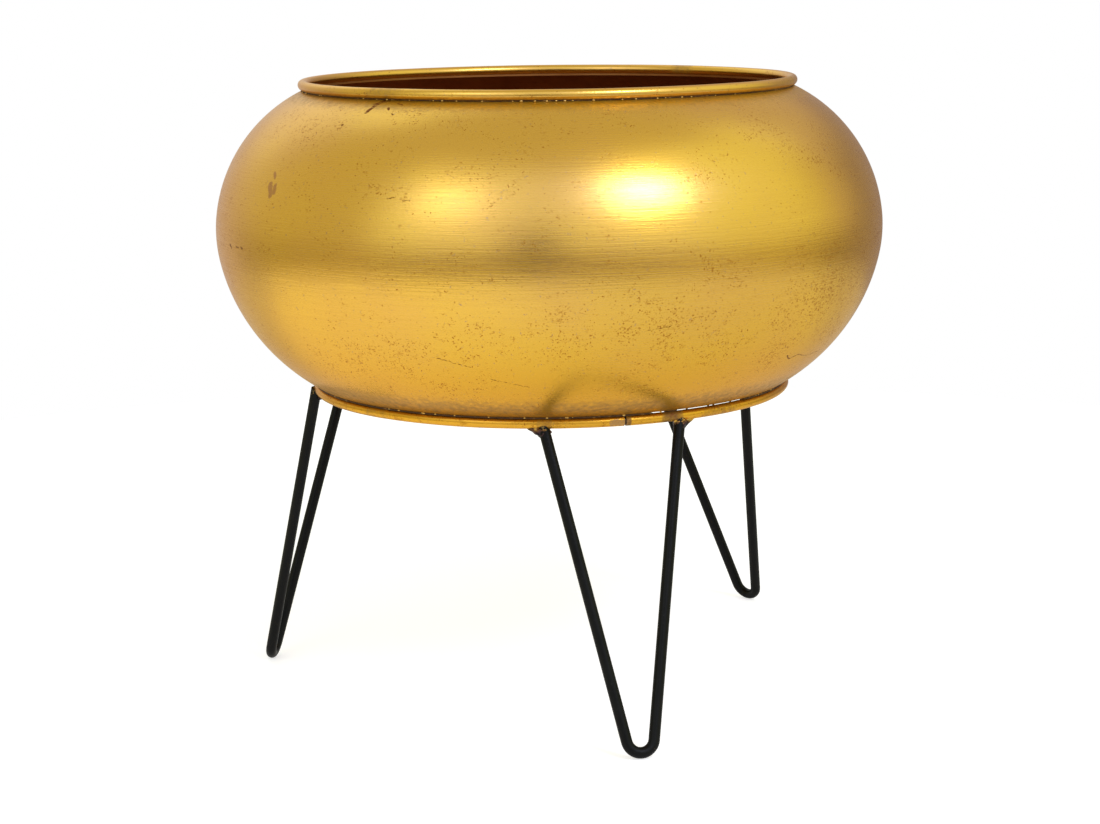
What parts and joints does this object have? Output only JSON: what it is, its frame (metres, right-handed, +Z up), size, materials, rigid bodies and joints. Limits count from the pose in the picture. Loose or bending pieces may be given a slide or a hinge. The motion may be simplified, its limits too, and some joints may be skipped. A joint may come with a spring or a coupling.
{
  "type": "planter with stand",
  "caption": "Round spun metal planter bowl with a wire hoop at its mouth, brazed to a wire hoop that stands on splayed hairpin legs of black rod.",
  "frame": {"origin": "on the floor, below the centre of the bowl", "axes": "+Z up along the axis of the bowl; -Y is the side that faces the picture's camera"},
  "size_m": [0.305, 0.305, 0.2781],
  "materials": {
    "bowl_gold": "spun and brushed round, satin antique gold with brown speckle, dark brown inside",
    "ring_gold": "satin antique gold wire",
    "braze": "as run, gone over with the bowl's patina",
    "black_rod": "satin black",
    "leg_weld": "as welded, patina at the ring and black down the rod"
  },
  "bodies": {
    "root": {"bowl_lower_shell": "bowl_gold", "bowl_upper_shell": "bowl_gold", "bowl_seam_weld": "bowl_gold", "mouth_ring": "ring_gold", "mouth_ring_weld": "ring_gold", "mouth_ring_braze": "braze", "foot_ring": "ring_gold", "foot_ring_weld": "ring_gold", "foot_ring_braze": "braze", "foot_ring_tacks": "braze", "front_leg": "black_rod", "front_leg_welds": "leg_weld", "right_leg": "black_rod", "right_leg_welds": "leg_weld", "left_leg": "black_rod", "left_leg_welds": "leg_weld"}
  },
  "joints": []
}
